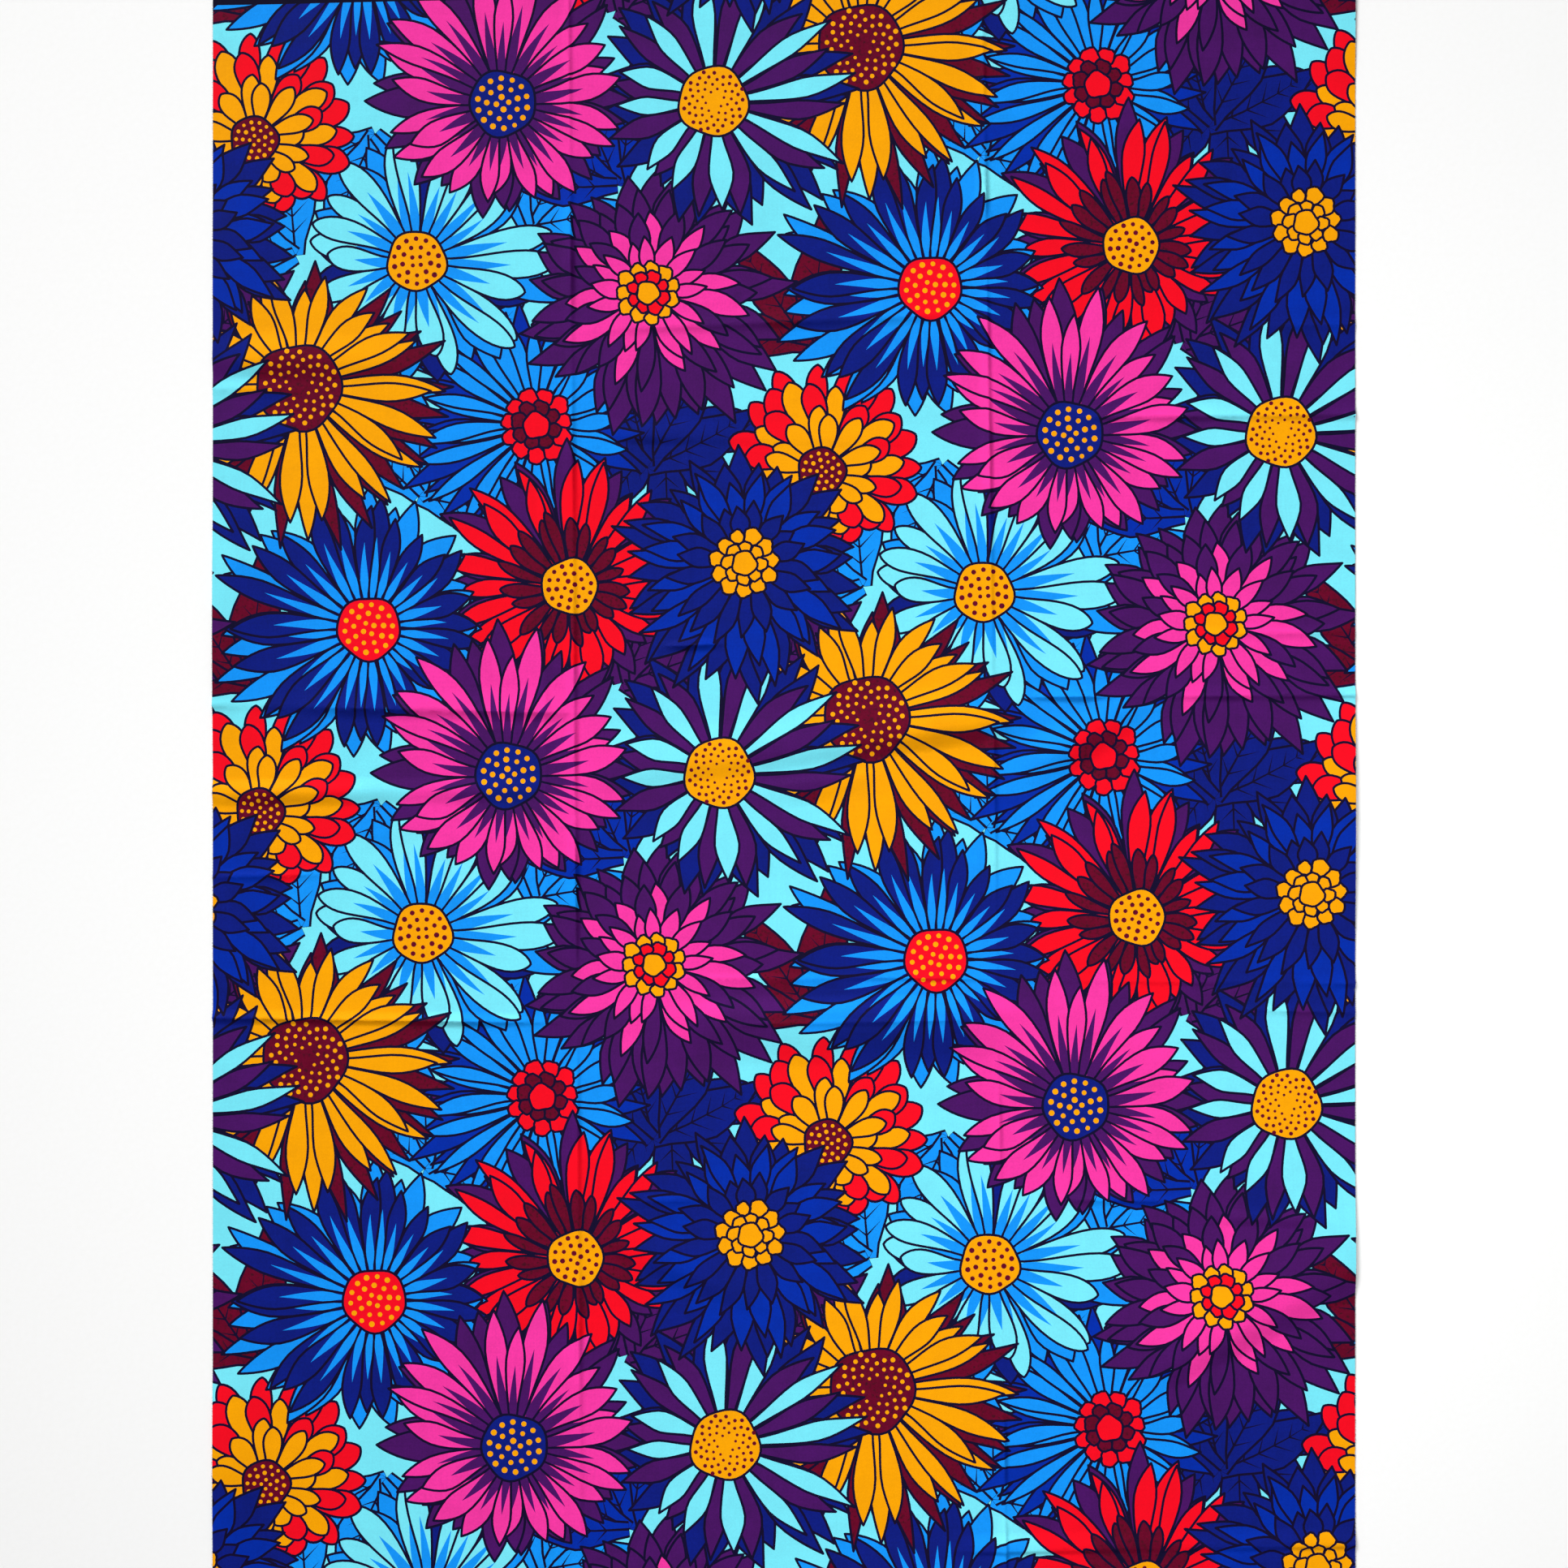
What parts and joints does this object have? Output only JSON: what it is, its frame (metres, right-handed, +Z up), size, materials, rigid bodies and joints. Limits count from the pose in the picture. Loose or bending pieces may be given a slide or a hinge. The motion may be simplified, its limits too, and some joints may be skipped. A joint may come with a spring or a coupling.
{
  "type": "length of wax print fabric laid flat",
  "caption": "Flat length of printed cotton cloth from selvedge to selvedge, cut square at two ends, with the pressed creases it had on the bolt.",
  "frame": {"origin": "centre of the cloth's underside, on the plane it rests on", "axes": "+X along the bolt, between the cut ends; +Y across the bolt, from selvedge to selvedge, up the picture; +Z up from the surface"},
  "size_m": [0.8502, 1.2074, 0.0064],
  "materials": {
    "cotton": "plain-woven cotton, calendered to a low gloss",
    "indigo_line": "blue-black outline, dyed through",
    "navy": "navy, dyed through",
    "royal_blue": "royal blue, dyed through",
    "azure": "azure, dyed through",
    "pale_cyan": "pale cyan ground, dyed through",
    "rose_pink": "rose pink, dyed through",
    "purple": "purple, dyed through",
    "scarlet": "scarlet, dyed through",
    "amber": "amber, dyed through",
    "maroon": "maroon with dark specks, dyed through"
  },
  "bodies": {
    "root": {"cloth_length": "cotton"}
  },
  "joints": []
}
